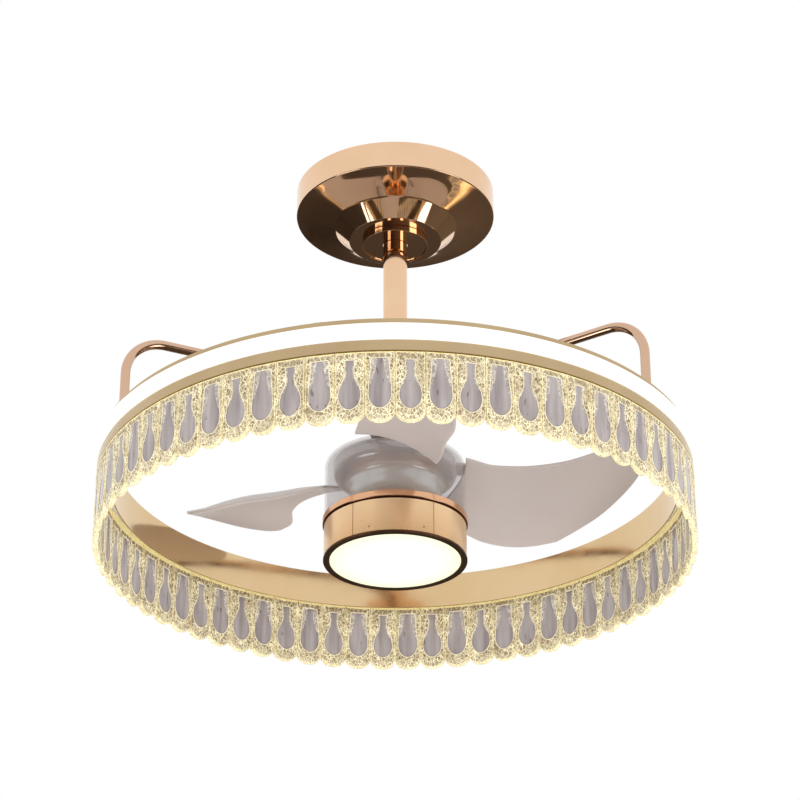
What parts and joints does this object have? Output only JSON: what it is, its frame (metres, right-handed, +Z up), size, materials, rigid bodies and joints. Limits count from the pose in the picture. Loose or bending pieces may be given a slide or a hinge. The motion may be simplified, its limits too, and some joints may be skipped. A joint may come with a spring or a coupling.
{
  "type": "chandelier ceiling fan",
  "caption": "Ceiling fan inside a ring chandelier: canopy, short rod, bent arms, lit ring with acrylic drops, moulded blades and a round downlight under the hub.",
  "frame": {"origin": "centre of the ceiling plate's upper face, on the axis of the rod", "axes": "+Z up along the rod into the ceiling; +X towards the blade that stands to the right in the picture, +Y away from the picture's camera"},
  "size_m": [0.5098, 0.5098, 0.3576],
  "materials": {
    "rose_gold": "polished rose-gold plating",
    "pale_gold": "polished pale gold plating",
    "dark_bronze": "dark bronze, glossy",
    "zinc_plate": "zinc plated",
    "steel": "plain machined",
    "iron_core": "stacked laminations",
    "silver_paint": "silver paint, satin",
    "copper_winding": "enamelled copper",
    "magnet": "dull ferrite",
    "smoke_blade": "smoke-tinted translucent plastic",
    "smoke_hub": "grey translucent plastic",
    "white_acrylic": "opal acrylic, lit from behind",
    "drop_acrylic": "clear acrylic with etched net and smoky window, edge lit",
    "circuit_board": "white solder mask",
    "box_plastic": "plain moulded"
  },
  "bodies": {
    "root": {"ceiling_plate": "zinc_plate", "hanger_bracket": "zinc_plate", "bracket_screw_1": "steel", "bracket_screw_2": "steel", "hanger_pin": "steel", "receiver_box": "box_plastic", "terminal_block": "box_plastic", "downrod": "rose_gold", "arm_hub": "rose_gold", "arm_1": "rose_gold", "arm_2": "rose_gold", "arm_3": "rose_gold", "arm_screw_1": "steel", "arm_screw_2": "steel", "arm_screw_3": "steel", "ring_channel": "pale_gold", "light_band": "white_acrylic", "band_led_strip": "circuit_board", "drop_led_strip": "circuit_board", "drop_panel_01": "drop_acrylic", "drop_panel_02": "drop_acrylic", "drop_panel_03": "drop_acrylic", "drop_panel_04": "drop_acrylic", "drop_panel_05": "drop_acrylic", "drop_panel_06": "drop_acrylic", "drop_panel_07": "drop_acrylic", "drop_panel_08": "drop_acrylic", "drop_panel_09": "drop_acrylic", "drop_panel_10": "drop_acrylic", "drop_panel_11": "drop_acrylic", "drop_panel_12": "drop_acrylic", "drop_panel_13": "drop_acrylic", "drop_panel_14": "drop_acrylic", "drop_panel_15": "drop_acrylic", "drop_panel_16": "drop_acrylic", "drop_panel_17": "drop_acrylic", "motor_shaft": "steel", "coupling_pin": "steel", "stator_core": "iron_core", "stator_winding": "copper_winding", "lamp_flange": "rose_gold", "lamp_drum": "rose_gold", "lamp_rim": "dark_bronze", "lamp_diffuser": "white_acrylic", "led_board": "circuit_board", "lamp_nut": "steel"},
    "rotor": {"upper_bearing": "steel", "lower_bearing": "steel", "rotor_lid": "silver_paint", "motor_bowl": "silver_paint", "magnet_ring": "magnet", "hub_shell": "smoke_hub", "blade_1": "smoke_blade", "blade_2": "smoke_blade", "blade_3": "smoke_blade", "blade_screw_1": "steel", "blade_screw_2": "steel", "blade_screw_3": "steel"},
    "canopy": {"canopy_cover": "rose_gold", "canopy_collar": "rose_gold"}
  },
  "joints": [
    {"name": "rotor_spin", "type": "hinge", "parent": "root", "child": "rotor", "pos_m": [0, 0, -0.29], "axis": [0, 0, 1], "continuous": true},
    {"name": "canopy_slide", "type": "slide", "parent": "root", "child": "canopy", "axis": [0, 0, 1], "range_m": [-0.12, 0]}
  ]
}
